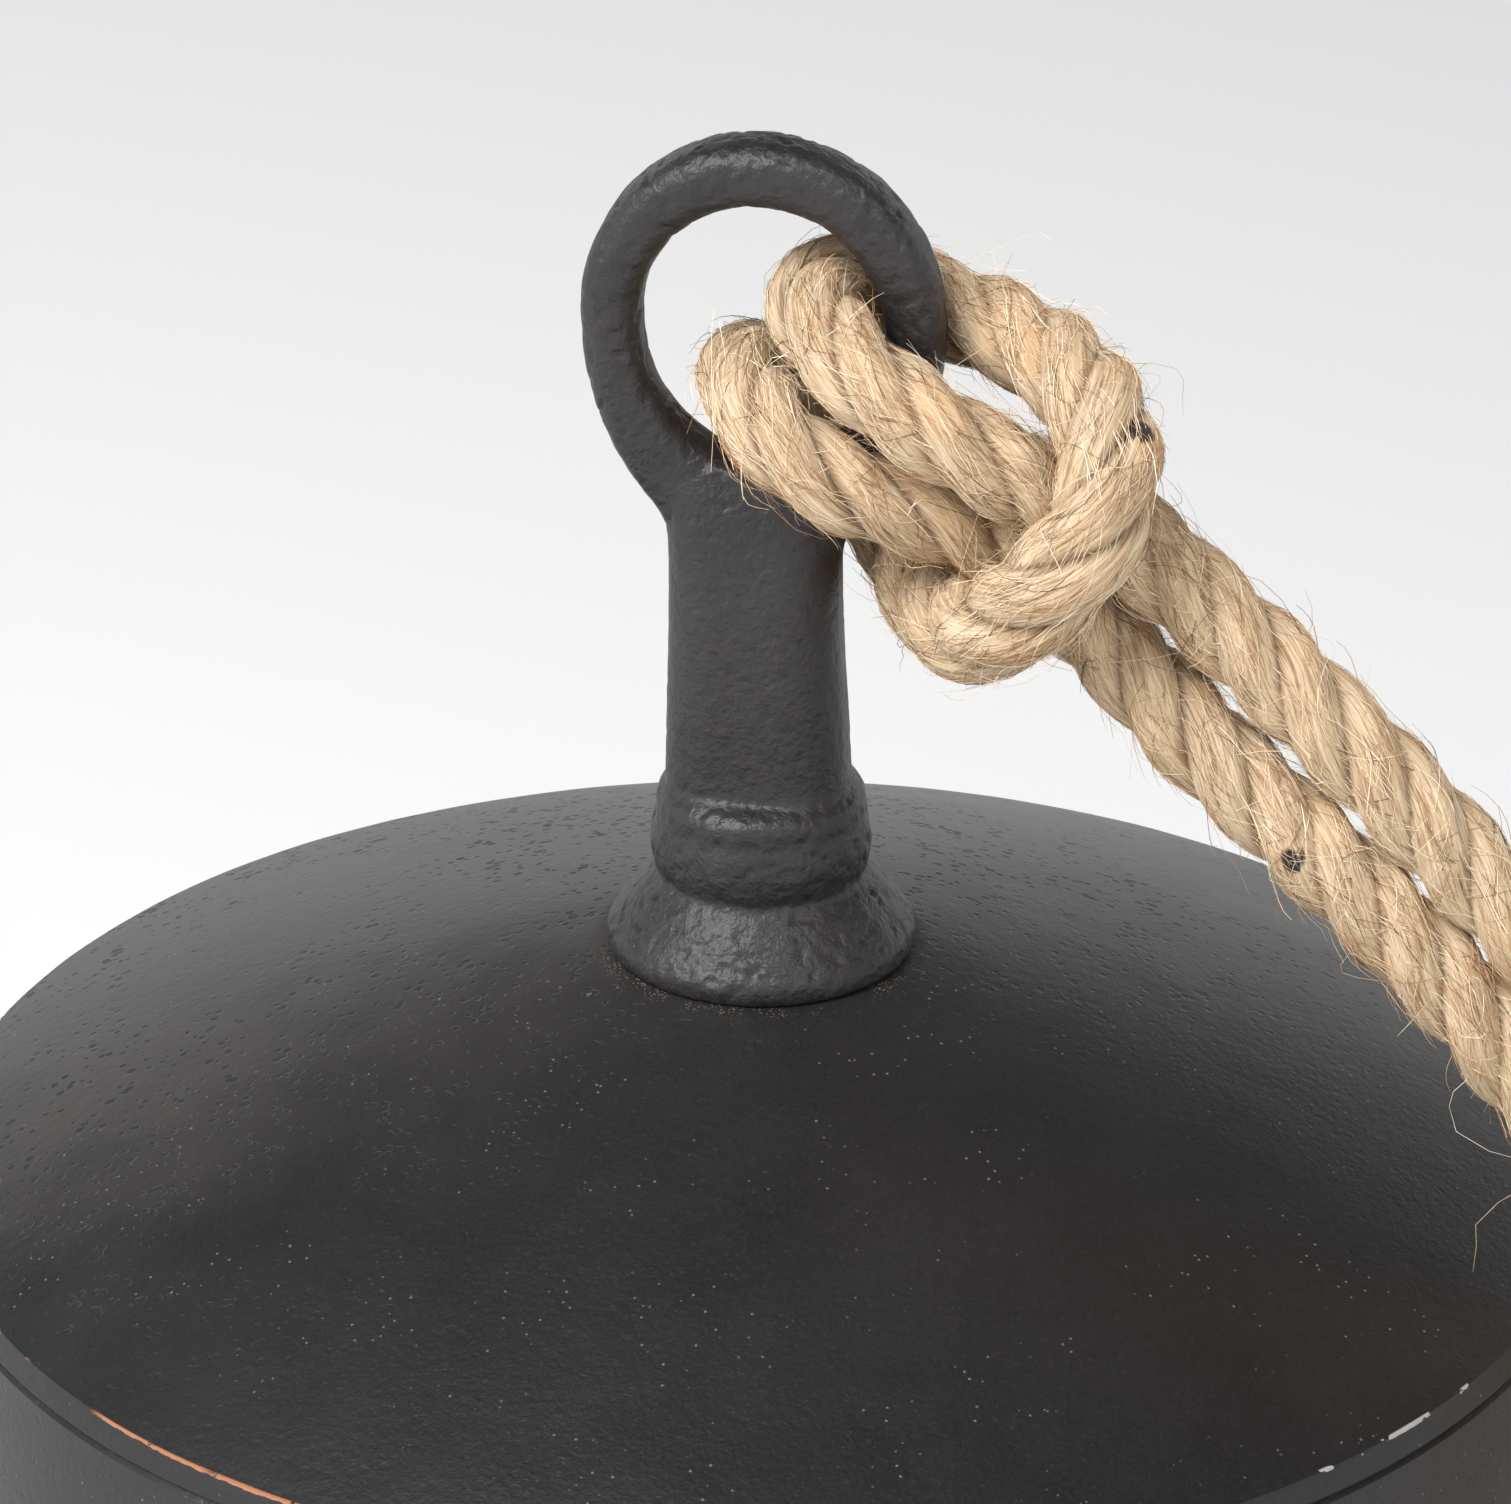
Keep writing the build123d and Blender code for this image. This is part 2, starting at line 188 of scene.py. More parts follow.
def addStudio():
    world = bpy.data.worlds.new("studioWorld")
    bpy.context.scene.world = world
    world.use_nodes = True
    tree = world.node_tree
    towards = addNode(tree, "ShaderNodeTexCoord").outputs["Generated"]
    height = addNode(tree, "ShaderNodeSeparateXYZ", {"Vector": towards}).outputs["Z"]
    glow = addRange(tree, height, 0.0, studio["horizonTop"], studio["horizon"], studio["overhead"])
    tree.links.new(glow, tree.nodes["Background"].inputs["Strength"])
    tree.nodes["Background"].inputs["Color"].default_value = (1, 1, 1, 1)
    deselectAll()
    bpy.ops.mesh.primitive_plane_add(size=16, location=(0, 0, 0))
    floor = bpy.context.object
    floor.name = "studioFloor"
    paint, tree, shader = newMaterial("floorPaint")
    tone = studio["floorTone"]
    plug(tree, shader, Base_Color=(tone, tone, tone, 1), Roughness=0.9)
    wear(floor, paint)
    addSoftbox("leftSoftbox", (-0.85, -0.8, 1.1), (0, 0, 0.27), (0.6, 0.8), 12)
    addSoftbox("rightSoftbox", (0.75, -0.85, 1.2), (0, 0, 0.27), (0.4, 0.6), 6)
    addSoftbox("topSoftbox", (-0.7, -1.0, 2.1), (-0.2, 1.3, 0), (1.0, 1.0), 49)
    bpy.context.scene.view_settings.view_transform = "Standard"


addCamera()
addStudio()
print("camera and studio ready")


# rope
ropeMake = {"diameter": 0.0127, "lay": 0.0338, "strandRadius": 0.30, "strandOffset": 0.205, "step": 0.0008,
            "around": 28, "yarns": 6, "fibreSlope": 0.53, "seed": 11}
# how far along the hitch, and how thick the rope is there against its usual diameter
ropeSqueeze = [(0.0, 0.98), (0.06, 0.95), (0.16, 0.95), (0.27, 0.98), (0.38, 1.02), (0.47, 1.05),
               (0.56, 1.02), (0.68, 0.97), (0.8, 0.95), (0.88, 0.9), (0.96, 0.92), (1.0, 0.97)]

hitchRoute = metres([
    (42.5, -9.5, 289.5), (37.9, -10, 292.1), (28.3, -12.5, 297.5), (19.4, -12.5, 303.1), (10.2, -9, 308.6),
    (5.1, 1, 311.3), (10.4, 11, 310), (21.5, 11, 306.5), (31.5, 6, 305.5), (39, -1.5, 304.9),
    (45.1, -11, 303), (47, -20, 296), (41.5, -23, 286.5), (34.5, -19.5, 278.6), (28.5, -12.5, 272.4),
    (22.9, -2.5, 271), (17.8, 7.5, 274), (12, 14, 280), (4.5, 15, 287.5), (-1.7, 11, 296),
    (-2.9, 1, 301), (0.5, -10, 299), (8.9, -13.5, 293.4), (17.9, -10.5, 288.5), (27, -5.5, 284.5),
    (35.9, -4.5, 278.7), (40.3, -6, 275.1)])
legARoute = metres([
    (42.5, -9.5, 289.5), (47.9, -8.9, 286.4), (58.9, -9.8, 277), (74.3, -11.8, 263.7), (92.2, -13, 246.4),
    (111.1, -13.5, 226), (131, -14, 203), (147, -14, 174), (158, -14, 143), (165, -14.5, 110),
    (168, -15, 78), (168.5, -12, 49), (168.5, 2, 23.5), (168, 26, 7.5), (166.4, 48, 7),
    (161, 73, 7.2), (157, 78, 17.5), (144, 79, 21.5), (127, 89.5, 18.5), (125, 97, 7.5),
    (135, 111.5, 7.5), (144.5, 109, 21), (158, 118, 20.5), (164.5, 132, 18.5), (165, 143, 7.4),
    (165.4, 159, 7), (169, 175, 7)])
legBRoute = metres([
    (40.3, -6, 275.1), (45.7, -7.8, 270.7), (58.2, -12.3, 259.7), (73.4, -14, 246.8), (90.1, -15.5, 231.7),
    (106.2, -16.5, 212.8), (120, -17, 189), (133, -17, 163), (143, -17, 135), (150, -17, 106),
    (153.5, -17, 77), (154.5, -14, 49), (154.5, 0, 23), (153, 26, 7.5), (151, 48, 7),
    (148, 67, 7.2), (147.5, 83.5, 7.2), (150.5, 91.5, 17), (136, 98, 21.5), (125, 109.5, 19),
    (127.5, 120.5, 12), (138, 132, 7.2), (150.5, 135, 7), (161, 122, 7.2), (165, 109.5, 7.5),
    (169, 95.5, 7.2), (172.5, 82.5, 11), (170.5, 70.5, 19), (156.5, 64, 20.5), (141.5, 66.5, 19.5),
    (134, 74, 10), (135.5, 89.5, 7.2), (144.5, 99.5, 8), (152, 112, 7), (145, 123, 13.5),
    (146.5, 133, 22.5), (148.5, 149, 12.5), (150.4, 160, 7.5), (153, 176, 7)])


def splineLine(name, points):
    data = bpy.data.curves.new(name, "CURVE")
    data.dimensions = "3D"
    data.resolution_u = 40
    spline = data.splines.new("NURBS")
    spline.points.add(len(points) - 1)
    for knot, p in zip(spline.points, points):
        knot.co = (*p, 1)
    spline.order_u = 3
    spline.use_endpoint_u = True
    guide = bpy.data.objects.new(name, data)
    bpy.context.collection.objects.link(guide)
    bpy.context.view_layer.update()
    mesh = bpy.data.meshes.new_from_object(guide.evaluated_get(bpy.context.evaluated_depsgraph_get()))
    line = np.array([v.co for v in mesh.vertices])
    bpy.data.objects.remove(guide)
    bpy.data.meshes.remove(mesh)
    bpy.data.curves.remove(data)
    return line


def lengthsAlong(line):
    return np.concatenate([[0], np.cumsum(np.linalg.norm(np.diff(line, axis=0), axis=1))])


def evenly(line, step):
    far = lengthsAlong(line)
    at = np.linspace(0, far[-1], max(2, int(round(far[-1] / step)) + 1))
    return np.stack([np.interp(at, far, line[:, k]) for k in range(3)], 1)


def unit(v):
    return v / np.linalg.norm(v, axis=-1, keepdims=True)


def carriedFrame(line):
    tangent = unit(np.gradient(line, axis=0))
    side = np.zeros_like(line)
    side[0] = unit(np.cross(tangent[0], (0.0, 0.0, 1.0)))
    for i in range(1, len(line)):
        s = side[i - 1] - tangent[i] * (side[i - 1] @ tangent[i])
        side[i] = s / np.linalg.norm(s)
    return tangent, side, np.cross(tangent, side)


def waves(x, count, longest, shortest, rng):
    # a smooth uneven wave made of a few sines
    total = np.zeros_like(x)
    for size in np.geomspace(longest, shortest, count):
        total += np.sin(2 * math.pi * x / size + rng.uniform(0, 6.28)) * rng.uniform(0.6, 1.0)
    return total / math.sqrt(count)


# the whole rope as one line, tail A to tail B, so that its strands run on through every piece
lineA = evenly(splineLine("guideA", legARoute), ropeMake["step"])
lineHitch = evenly(splineLine("guideHitch", hitchRoute), ropeMake["step"])
lineB = evenly(splineLine("guideB", legBRoute), ropeMake["step"])
wholeLine = np.vstack([lineA[::-1], lineHitch[1:], lineB[1:]])
along = lengthsAlong(wholeLine)
tangent, sideways, upwards = carriedFrame(wholeLine)
lastA = len(lineA) - 1
lastHitch = lastA + len(lineHitch) - 1
ropeSpans = {"ropeLegA": (0, lastA), "ropeHitch": (lastA, lastHitch),
             "ropeLegB": (lastHitch, len(wholeLine) - 1)}
ropeRandom = np.random.default_rng(ropeMake["seed"])
hitchShare = (along - along[lastA]) / (along[lastHitch] - along[lastA])
thickness = ropeMake["diameter"] * np.interp(hitchShare, *zip(*ropeSqueeze))
thickness = thickness * (1 + 0.012 * waves(along, 5, 0.05, 0.008, ropeRandom))
strandTurn = [2 * math.pi * (along / ropeMake["lay"] + k / 3) + 0.07 * waves(along, 4, 0.12, 0.02, ropeRandom)
              for k in range(3)]
strandSwell = [1 + 0.03 * waves(along, 6, 0.05, 0.005, ropeRandom) for _ in range(3)]


def makeStrands(name):
    first, last = ropeSpans[name]
    around = ropeMake["around"]
    ring = 2 * math.pi * np.arange(around) / around + math.pi
    count = last + 1 - first
    s = along[first:last + 1]
    thick = thickness[first:last + 1]
    points, faces, uvs, grooves = [], [], [], []
    for k in range(3):
        turn = strandTurn[k]
        out = np.cos(turn)[:, None] * sideways + np.sin(turn)[:, None] * upwards
        centre = wholeLine + (thickness * ropeMake["strandOffset"])[:, None] * out
        run = unit(np.gradient(centre, axis=0))[first:last + 1]
        out = out[first:last + 1]
        out = unit(out - run * (out * run).sum(1)[:, None])
        across = np.cross(run, out)
        radius = thick * ropeMake["strandRadius"] * strandSwell[k][first:last + 1]
        twist = ropeMake["fibreSlope"] / (ropeMake["diameter"] * ropeMake["strandRadius"])
        lean = ring[None] + twist * s[:, None]
        yarn = np.sin(ropeMake["yarns"] * lean + 1.3 * np.sin(s / 0.009 + k)[:, None])
        fibre = np.sin(17 * lean + 2.0 * np.sin(s / 0.004 + 2 * k)[:, None])
        r = radius[:, None] * (1 + 0.020 * yarn + 0.010 * fibre)
        p = centre[first:last + 1][:, None] + r[..., None] * (
            np.cos(ring)[None, :, None] * out[:, None] + np.sin(ring)[None, :, None] * across[:, None])
        p[..., 2] = np.maximum(p[..., 2], 0.0003)
        base = k * (count * around + 2)
        i, j = np.meshgrid(np.arange(count - 1), np.arange(around), indexing="ij")
        a = base + i * around + j
        b = base + i * around + (j + 1) % around
        faces.append(np.stack([a, b, b + around, a + around], -1).reshape(-1, 4))
        girth = 200 * math.pi * ropeMake["diameter"] * ropeMake["strandRadius"] / around
        u = girth * (j + np.array([0, 1, 1, 0])[:, None, None]) + 7.3 * k
        v = 100 * s[i + np.array([0, 0, 1, 1])[:, None, None]]
        uvs.append(np.stack([u, v], -1).transpose(1, 2, 0, 3).reshape(-1, 2))
        points += [p.reshape(-1, 3), centre[[first, last]]]
        grooves += [np.repeat(np.cos(ring)[None], count, 0).ravel(), [1, 1]]
    quads = np.vstack(faces)
    caps = []
    for k in range(3):
        base = k * (count * around + 2)
        low = base + count * around
        j = np.arange(around)
        nextJ = (j + 1) % around
        end = base + (count - 1) * around
        caps += np.stack([base + nextJ, base + j, np.full(around, low)], -1).tolist()
        caps += np.stack([end + j, end + nextJ, np.full(around, low + 1)], -1).tolist()
    mesh = bpy.data.meshes.new(name)
    mesh.from_pydata(np.vstack(points).tolist(), [], quads.tolist() + caps)
    mesh.polygons.foreach_set("use_smooth", [True] * len(mesh.polygons))
    flat = np.zeros((len(mesh.loops), 2), np.float32)
    allUv = np.vstack(uvs)
    flat[:len(allUv)] = allUv
    mesh.uv_layers.new(name="strand").data.foreach_set("uv", flat.ravel())
    crest = mesh.attributes.new("crest", "FLOAT", "POINT")
    crest.data.foreach_set("value", np.concatenate(grooves).astype(np.float32))
    piece = bpy.data.objects.new(name, mesh)
    bpy.context.collection.objects.link(piece)
    return piece


juteTones = ((0.30, (0.12, 0.065, 0.034)), (0.72, (0.80, 0.68, 0.51)), (0.40, (0.30, 0.19, 0.105)),
             (0.49, (0.52, 0.38, 0.24)), (0.60, (0.66, 0.52, 0.355)))
fibreTones = ((0.0, (0.06, 0.035, 0.02)), (1.0, (0.92, 0.82, 0.66)), (0.08, (0.16, 0.075, 0.032)),
              (0.20, (0.48, 0.22, 0.08)), (0.32, (0.46, 0.30, 0.155)), (0.58, (0.66, 0.50, 0.31)),
              (0.85, (0.80, 0.66, 0.47)))
# stained places: centre, reach, colour
juteMarks = (((0.0501, -0.0157, 0.3043), 0.0024, (0.010, 0.009, 0.010)),
             ((0.0707, -0.0199, 0.2487), 0.0022, (0.012, 0.010, 0.010)))


def juteMaterial():
    paint, tree, shader = newMaterial("juteStrand")
    at = addNode(tree, "ShaderNodeUVMap", uv_map="strand").outputs["UV"]
    crest = addNode(tree, "ShaderNodeAttribute", attribute_name="crest").outputs["Fac"]
    place = addNode(tree, "ShaderNodeTexCoord").outputs["Object"]
    slant = addNode(tree, "ShaderNodeMapping", {"Vector": at, "Rotation": (0, 0, -0.487)}).outputs["Vector"]
    fineAt = addNode(tree, "ShaderNodeMapping", {"Vector": slant, "Scale": (34, 1.7, 1)}).outputs["Vector"]
    coarseAt = addNode(tree, "ShaderNodeMapping", {"Vector": slant, "Scale": (9, 0.8, 1)}).outputs["Vector"]
    fine = addNoise(tree, fineAt, 1.0, 4.0, 0.6, 0.6)
    coarse = addNoise(tree, coarseAt, 1.0, 3.0, 0.55, 0.4)
    blotch = addNoise(tree, place, 70.0, 3.0, 0.6)
    streaks = addMath(tree, "ADD", addProduct(tree, fine, 0.62), addProduct(tree, coarse, 0.38))
    tone = addRamp(tree, streaks, juteTones)
    warm = addMix(tree, addRange(tree, blotch, 0.52, 0.70), tone, (0.66, 0.36, 0.16))
    mixed = addMix(tree, 0.35, tone, warm)
    # painted shade: the strands are darkened towards the grooves between them, near black deep in the grooves
    dark = addMix(tree, addRange(tree, crest, 0.55, 0.05, 0.0, 0.75), mixed, (0.09, 0.045, 0.022))
    dark = addMix(tree, addRange(tree, crest, 0.16, 0.0), dark, (0.014, 0.008, 0.005))
    for spot, reach, tint in juteMarks:
        away = addNode(tree, "ShaderNodeVectorMath", {0: place, 1: spot}, operation="DISTANCE")
        ragged = addMath(tree, "ADD", away.outputs["Value"], addProduct(tree, coarse, 0.004))
        dark = addMix(tree, addRange(tree, ragged, reach + 0.0020, reach + 0.0012), dark, tint)
    plug(tree, shader, Base_Color=dark, Roughness=0.85)
    shader.inputs["Specular IOR Level"].default_value = 0.25
    shader.inputs["Sheen Weight"].default_value = 0.25
    shader.inputs["Sheen Roughness"].default_value = 0.5
    shader.inputs["Sheen Tint"].default_value = (1.0, 0.86, 0.68, 1)
    plug(tree, shader, Normal=addBump(tree, fine, 0.9, 0.0004, addBump(tree, coarse, 0.6, 0.0006)))
    return paint


juteStrand = juteMaterial()
ropePieces = {name: makeStrands(name) for name in ropeSpans}
for piece in ropePieces.values():
    wear(piece, juteStrand)
print("rope strands:", {n: len(p.data.polygons) for n, p in ropePieces.items()})

# fibres per metre are higher on the hitch and the legs' near stretch, which are looked at closely
fuzzMake = {"radius": (0.000026, 0.00006), "length": (0.004, 0.018), "lean": 15.0, "spread": 24.0,
            "points": 6, "mostTriangles": 190000, "near": 0.13, "hitchPerMetre": 38000,
            "nearPerMetre": 34000, "farPerMetre": 13000, "atEachEnd": 260}


def ropeRadiusAt(s, around):
    thick = np.interp(s, along, thickness)
    best = np.zeros_like(s)
    d = ropeMake["strandOffset"]
    for k in range(3):
        off = around - np.interp(s, along, strandTurn[k])
        reach = np.sqrt(ropeMake["strandRadius"] ** 2 - (d * np.sin(off)) ** 2)
        best = np.maximum(best, d * np.cos(off) + reach)
    return best * thick


def ropeSurfacePoint(s, around, r):
    def read(table):
        return np.stack([np.interp(s, along, table[:, k]) for k in range(3)], -1)
    return read(wholeLine) + r[..., None] * (np.cos(around)[..., None] * read(sideways)
                                            + np.sin(around)[..., None] * read(upwards))


def fibrePaths(low, high, count, rng):
    # fibres lie along the strands on the rope's surface, and a few lift off it
    n = fuzzMake["points"]
    t = np.linspace(0, 1, n)[None]
    s0 = rng.uniform(low, high, count)[:, None]
    a0 = rng.uniform(0, 2 * math.pi, count)[:, None]
    long = np.exp(rng.uniform(*np.log(fuzzMake["length"]), count))[:, None]
    lean = np.radians(rng.normal(fuzzMake["lean"], fuzzMake["spread"], count))
    wild = rng.random(count) < 0.2
    lean = np.where(wild, rng.uniform(-1.4, 1.4, count), lean)[:, None]
    bend = rng.normal(0, 0.45, count)[:, None]
    angle = lean + bend * (t - 0.5)
    ds = long / (n - 1) * np.cos(angle)
    da = long / (n - 1) * np.sin(angle) / (0.47 * ropeMake["diameter"])
    s = np.clip(s0 + np.cumsum(ds, 1) - long / 2, 0, along[-1])
    around = a0 + np.cumsum(da, 1)
    r = ropeRadiusAt(s, around)
    r = np.maximum(r, 0.75 * r + 0.25 * r.mean(1, keepdims=True))
    # few fibres bridge the grooves between the strands
    depth = r.mean(1) / np.interp(s.mean(1), along, thickness)
    kept = (depth > np.quantile(depth, 0.36)) | (rng.random(count) < 0.3)
    lift = rng.uniform(-0.00003, 0.00028, count)[:, None] * (0.4 + np.sin(math.pi * t))
    loose = rng.random(count)
    flyaway = np.where(loose < 0.17, rng.uniform(0.0005, 0.0018, count), 0.0)
    flyaway = np.where(loose < 0.011, rng.uniform(0.002, 0.006, count), flyaway)[:, None]
    r = r + lift + flyaway * t ** 1.7
    p = ropeSurfacePoint(s, around, r)
    sway = rng.normal(0, 1, (count, 1, 3)) * flyaway[..., None] * 0.8
    sway = sway * np.sin(2.6 * t[..., None] * rng.uniform(0.6, 1.6, (count, 1, 1)))
    return (p + sway)[kept]


def endFibres(s, outward, count, rng):
    # the loose fibres of a cut end
    n = fuzzMake["points"]
    t = np.linspace(0, 1, n)[None, :, None]
    around = rng.uniform(0, 2 * math.pi, count)
    share = np.sqrt(rng.random(count))
    root = ropeSurfacePoint(np.full(count, s), around, share * 0.46 * ropeMake["diameter"])
    axis = outward * unit(np.array([np.interp(s, along, tangent[:, k]) for k in range(3)]))
    long = rng.uniform(0.003, 0.010, count)[:, None, None]
    flare = unit(root - ropeSurfacePoint(np.array([s]), np.zeros(1), np.zeros(1)))[:, None]
    curl = rng.normal(0, 0.25, (count, 1, 3))
    bend = 0.35 * flare * share[:, None, None] + curl
    return root[:, None] + long * (t * axis + bend * t ** 2) - 0.001 * axis


def hairMesh(name, paths, rng):
    # each fibre is a thin closed tube of three sides
    count, n = paths.shape[:2]
    run = unit(np.gradient(paths, axis=1))
    probe = np.where(np.abs(run[..., 2:3]) < 0.9, np.array([0.0, 0, 1]), np.array([1.0, 0, 0]))
    a = unit(np.cross(run, probe))
    b = np.cross(run, a)
    taper = 1 - 0.5 * np.linspace(0, 1, n) ** 2
    radius = rng.uniform(*fuzzMake["radius"], count)[:, None, None] * taper[None, :, None]
    third = 2 * math.pi / 3
    rings = [paths + radius * (math.cos(q) * a + math.sin(q) * b) for q in (0, third, 2 * third)]
    points = np.stack(rings, 2).reshape(-1, 3)
    points[:, 2] = np.maximum(points[:, 2], 0.0002)
    f, i, j = np.meshgrid(np.arange(count), np.arange(n - 1), np.arange(3), indexing="ij")
    low = f * n * 3 + i * 3
    quads = np.stack([low + j, low + (j + 1) % 3, low + 3 + (j + 1) % 3, low + 3 + j], -1).reshape(-1, 4)
    start = np.arange(count) * n * 3
    end = start + (n - 1) * 3
    caps = np.vstack([np.stack([start + 2, start + 1, start], -1), np.stack([end, end + 1, end + 2], -1)])
    mesh = bpy.data.meshes.new(name)
    mesh.from_pydata(points.tolist(), [], quads.tolist() + caps.tolist())
    shade = mesh.attributes.new("shade", "FLOAT", "POINT")
    shade.data.foreach_set("value", np.repeat(rng.random(count), n * 3).astype(np.float32))
    piece = bpy.data.objects.new(name, mesh)
    bpy.context.collection.objects.link(piece)
    return piece


def fibreMaterial():
    paint, tree, shader = newMaterial("juteFibre")
    shade = addNode(tree, "ShaderNodeAttribute", attribute_name="shade").outputs["Fac"]
    plug(tree, shader, Base_Color=addRamp(tree, shade, fibreTones), Roughness=0.6)
    shader.inputs["Specular IOR Level"].default_value = 0.3
    return paint


def fibreStretches(name):
    m = fuzzMake
    first, last = ropeSpans[name]
    low, high = along[first], along[last]
    if name == "ropeHitch":
        return [(low, high, m["hitchPerMetre"])]
    if name == "ropeLegA":
        return [(low, high - m["near"], m["farPerMetre"]), (high - m["near"], high, m["nearPerMetre"])]
    return [(low, low + m["near"], m["nearPerMetre"]), (low + m["near"], high, m["farPerMetre"])]


juteFibre = fibreMaterial()
ropeFuzz = {name: [] for name in ropeSpans}
trianglesEach = 6 * (fuzzMake["points"] - 1) + 2
for number, (name, (first, last)) in enumerate(ropeSpans.items()):
    rng = np.random.default_rng(ropeMake["seed"] + 10 + number)
    groups = []
    for low, high, perMetre in fibreStretches(name):
        groups.append(fibrePaths(low, high, int((high - low) * perMetre), rng))
    if name == "ropeLegA":
        groups.append(endFibres(along[first], -1, fuzzMake["atEachEnd"], rng))
    if name == "ropeLegB":
        groups.append(endFibres(along[last], 1, fuzzMake["atEachEnd"], rng))
    paths = np.concatenate(groups)
    parts = math.ceil(len(paths) * trianglesEach / fuzzMake["mostTriangles"])
    for part, share in enumerate(np.array_split(paths, parts)):
        hair = hairMesh(f"{name}Fibres{part + 1}", share, rng)
        wear(hair, juteFibre)
        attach(hair, "bell")
        ropeFuzz[name].append(hair)
print("rope fibres:", {n: [len(p.data.polygons) for p in group] for n, group in ropeFuzz.items()})

standsFor = {"ropeLegA": ("rope_leg_a", "rope_tail_a", "rope_knot"), "ropeHitch": ("rope_hitch",),
             "ropeLegB": ("rope_leg_b", "rope_tail_b")}
for name, replaced in standsFor.items():
    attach(ropePieces[name], "bell")
    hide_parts(*replaced)


# bell body
# millimetres, except for the undulation
bellMake = {"steps": 384, "seatRadius": 20.6, "shoulderRadius": 107.0, "shoulderHeight": 190.0,
            "crownArc": 409.6, "edgeRound": 0.35, "hole": 5.3, "flatTo": 12.9, "crownWall": 7.0,
            "undulation": 0.00016}


def arcPoints(start, end, radius, count):
    # from start to end on a circle whose centre lies below, in radius and height
    (x0, z0), (x1, z1) = start, end
    half = math.hypot(x1 - x0, z1 - z0) / 2
    mid = np.array([(x0 + x1) / 2, (z0 + z1) / 2])
    chord = np.array([x1 - x0, z1 - z0]) / (2 * half)
    centre = mid + np.array([chord[1], -chord[0]]) * math.sqrt(radius ** 2 - half ** 2)
    a0 = math.atan2(z0 - centre[1], x0 - centre[0])
    a1 = math.atan2(z1 - centre[1], x1 - centre[0])
    turns = np.linspace(a0, a1, count)
    return [(centre[0] + radius * math.cos(a), centre[1] + radius * math.sin(a)) for a in turns]


def wallPoints(knots, count):
    # a wall whose radius is a smooth function of height through its knots
    r, z = np.array(knots).T
    curve = np.polyfit(z, r, len(knots) - 1)
    heights = np.linspace(z[0], z[-1], count)
    return list(zip(np.polyval(curve, heights), heights))


def bellProfile():
    m = bellMake
    top = 1000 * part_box("bell_body")[1][2]
    edge = (m["shoulderRadius"], m["shoulderHeight"])
    crown = arcPoints((m["seatRadius"], top), edge, m["crownArc"], 64)
    crown[-1] = (edge[0] - m["edgeRound"], edge[1] + 0.27 * m["edgeRound"])
    outer = [(m["hole"], top), (m["flatTo"], top)] + crown
    outer += [(edge[0] + 0.03, edge[1] - 0.06), (edge[0] + 0.2, edge[1] - m["edgeRound"])]
    outer += [(107.7, 188.2), (108.15, 187.05), (108.05, 186.8), (107.75, 186.45), (108.2, 186.1)]
    outer += wallPoints([(108.4, 185.9), (111.9, 113.45), (118.2, 40), (126, 9)], 56)
    outer += [(126.22, 6.5), (126.1, 3.6), (125.4, 1.4), (124, 0), (118, 0)]
    outer += wallPoints([(117.8, 1.5), (112.8, 36), (106.9, 113.45), (103.2, 182.9)], 40)
    inner = top - m["crownWall"]
    outer += [(102.6, 185.4), (101.2, 186.9), (99.0, 188.2)]
    outer += arcPoints((m["seatRadius"], inner), (96.2, 188.9), m["crownArc"], 30)[::-1]
    outer += [(m["flatTo"], inner), (m["hole"], inner)]
    return metres(outer)


def lathe(name, profile, steps):
    deselectAll()
    bpy.ops.mesh.primitive_plane_add(size=0.01)
    piece = bpy.context.object
    piece.name = name
    bpy.ops.object.mode_set(mode="EDIT")
    bpy.ops.mesh.merge(type="CENTER")
    bpy.ops.transform.translate(value=(profile[0][0], 0, profile[0][1]))
    for (r0, z0), (r1, z1) in zip(profile, profile[1:]):
        bpy.ops.mesh.extrude_region_move(TRANSFORM_OT_translate={"value": (r1 - r0, 0, z1 - z0)})
    bpy.ops.mesh.select_all(action="SELECT")
    bpy.ops.mesh.spin(steps=steps, angle=2 * math.pi, center=(0, 0, 0), axis=(0, 0, 1))
    bpy.ops.mesh.select_all(action="SELECT")
    bpy.ops.mesh.remove_doubles(threshold=0.000005)
    bpy.ops.mesh.normals_make_consistent(inside=False)
    bpy.ops.object.mode_set(mode="OBJECT")
    bpy.ops.object.shade_smooth_by_angle(angle=math.radians(32))
    return piece


def shiftAlongNormals(piece, howFar):
    mesh = piece.data
    count = len(mesh.vertices)
    co = np.zeros(count * 3)
    normal = np.zeros(count * 3)
    mesh.vertices.foreach_get("co", co)
    mesh.vertices.foreach_get("normal", normal)
    co = co.reshape(-1, 3)
    normal = normal.reshape(-1, 3)
    co += normal * np.array([howFar(Vector(p), Vector(n)) for p, n in zip(co, normal)])[:, None]
    mesh.vertices.foreach_set("co", co.ravel())
    mesh.update()


profile = bellProfile()
bell = lathe("bellShell", profile + profile[:1], bellMake["steps"])


def bellWaver(p, n):
    # a hand-finished casting is never quite true
    # level where it stands and where the eye sits
    if math.hypot(p.x, p.y) < 0.022 or p.z < 0.002:
        return 0.0
    wide = noise.noise(p * 24.0)
    close = noise.noise(p * 130.0)
    return bellMake["undulation"] * (wide + 0.35 * close)


shiftAlongNormals(bell, bellWaver)
print("bell shell:", len(bell.data.polygons))


# rubbed stretches of the shoulder edge: from, to (degrees round the bell), how much, colour
bellWear = {"below": 0.00034, "copper": (0.33, 0.135, 0.06), "bare": (0.34, 0.33, 0.31),
            "copperSpans": ((-130.0, -119.0, 0.60), (-119.0, -111.5, 0.52), (-143.5, -139.0, 0.52),
                            (35.0, 52.0, 0.5), (118.0, 131.0, 0.5)),
            "bareSpans": ((-47.5, -22.0, 0.44), (170.0, 179.0, 0.45), (70.0, 80.0, 0.45))}


